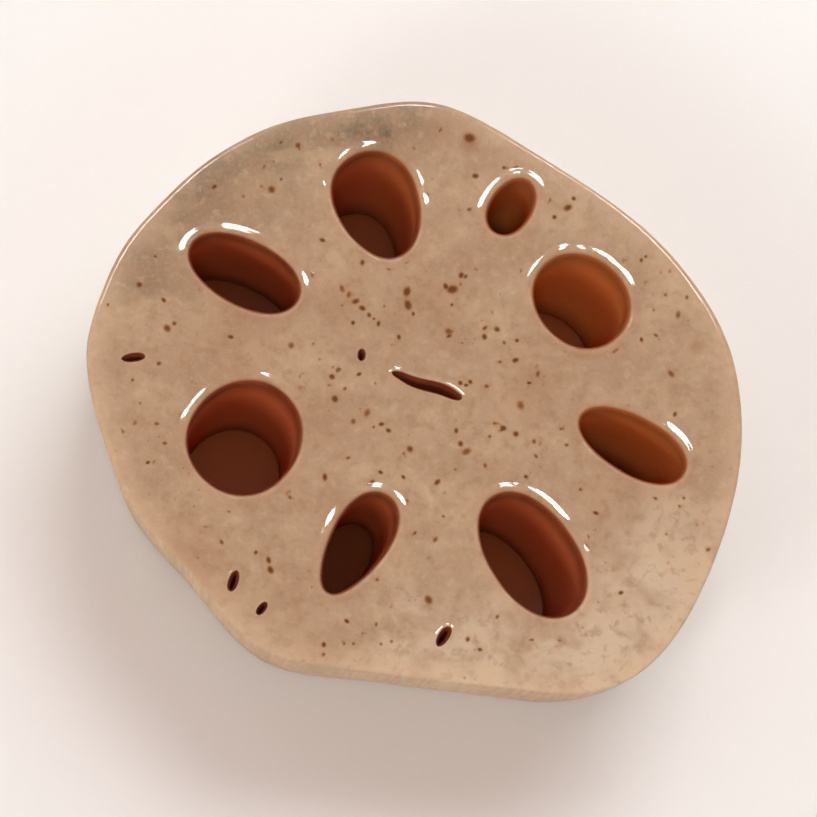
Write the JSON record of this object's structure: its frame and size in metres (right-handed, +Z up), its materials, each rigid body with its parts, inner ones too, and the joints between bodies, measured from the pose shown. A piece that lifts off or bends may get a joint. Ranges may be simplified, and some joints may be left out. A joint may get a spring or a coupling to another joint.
{
  "type": "lotus root slice",
  "caption": "Thick round slice of peeled lotus root with a ring of oval air channels running from one cut face to the other.",
  "frame": {"origin": "middle of the box of the face that the slice rests on", "axes": "+Z up through the slice, along the root and its air channels; +X along the slice's greatest width"},
  "size_m": [0.0676, 0.0616, 0.019],
  "materials": {
    "flesh": "moist pinkish tan flesh with small brown specks, darker brown inside the air channels"
  },
  "bodies": {
    "root": {"lotus_root_slice": "flesh"}
  },
  "joints": []
}
